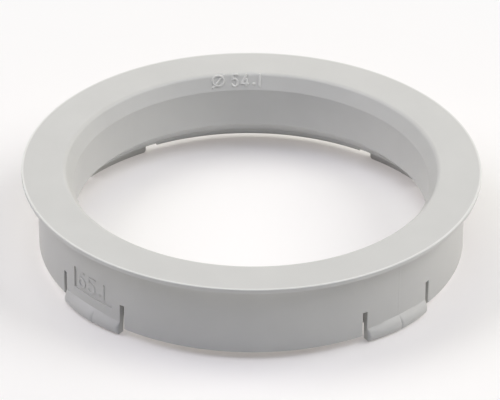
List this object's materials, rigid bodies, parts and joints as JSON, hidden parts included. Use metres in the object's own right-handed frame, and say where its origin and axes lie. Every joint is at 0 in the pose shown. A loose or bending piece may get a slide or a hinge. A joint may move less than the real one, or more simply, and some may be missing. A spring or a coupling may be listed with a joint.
{
  "type": "hub centric ring",
  "caption": "Moulded plastic spacer ring with a thin flange, a lead-in cone, a bore and flexible clip tabs with beads, which centres a wheel on a hub.",
  "frame": {"origin": "on the ring's axis, at the level of the bottom of the clip tabs, where the ring stands", "axes": "+Z along the ring's axis, from the clip tabs to the flange; the clip tabs lie at 45, 135, 225 and 315 degrees from +X"},
  "size_m": [0.07, 0.07, 0.0138],
  "materials": {
    "plastic": "satin moulded plastic, light grey"
  },
  "bodies": {
    "root": {"ring": "plastic"}
  },
  "joints": []
}
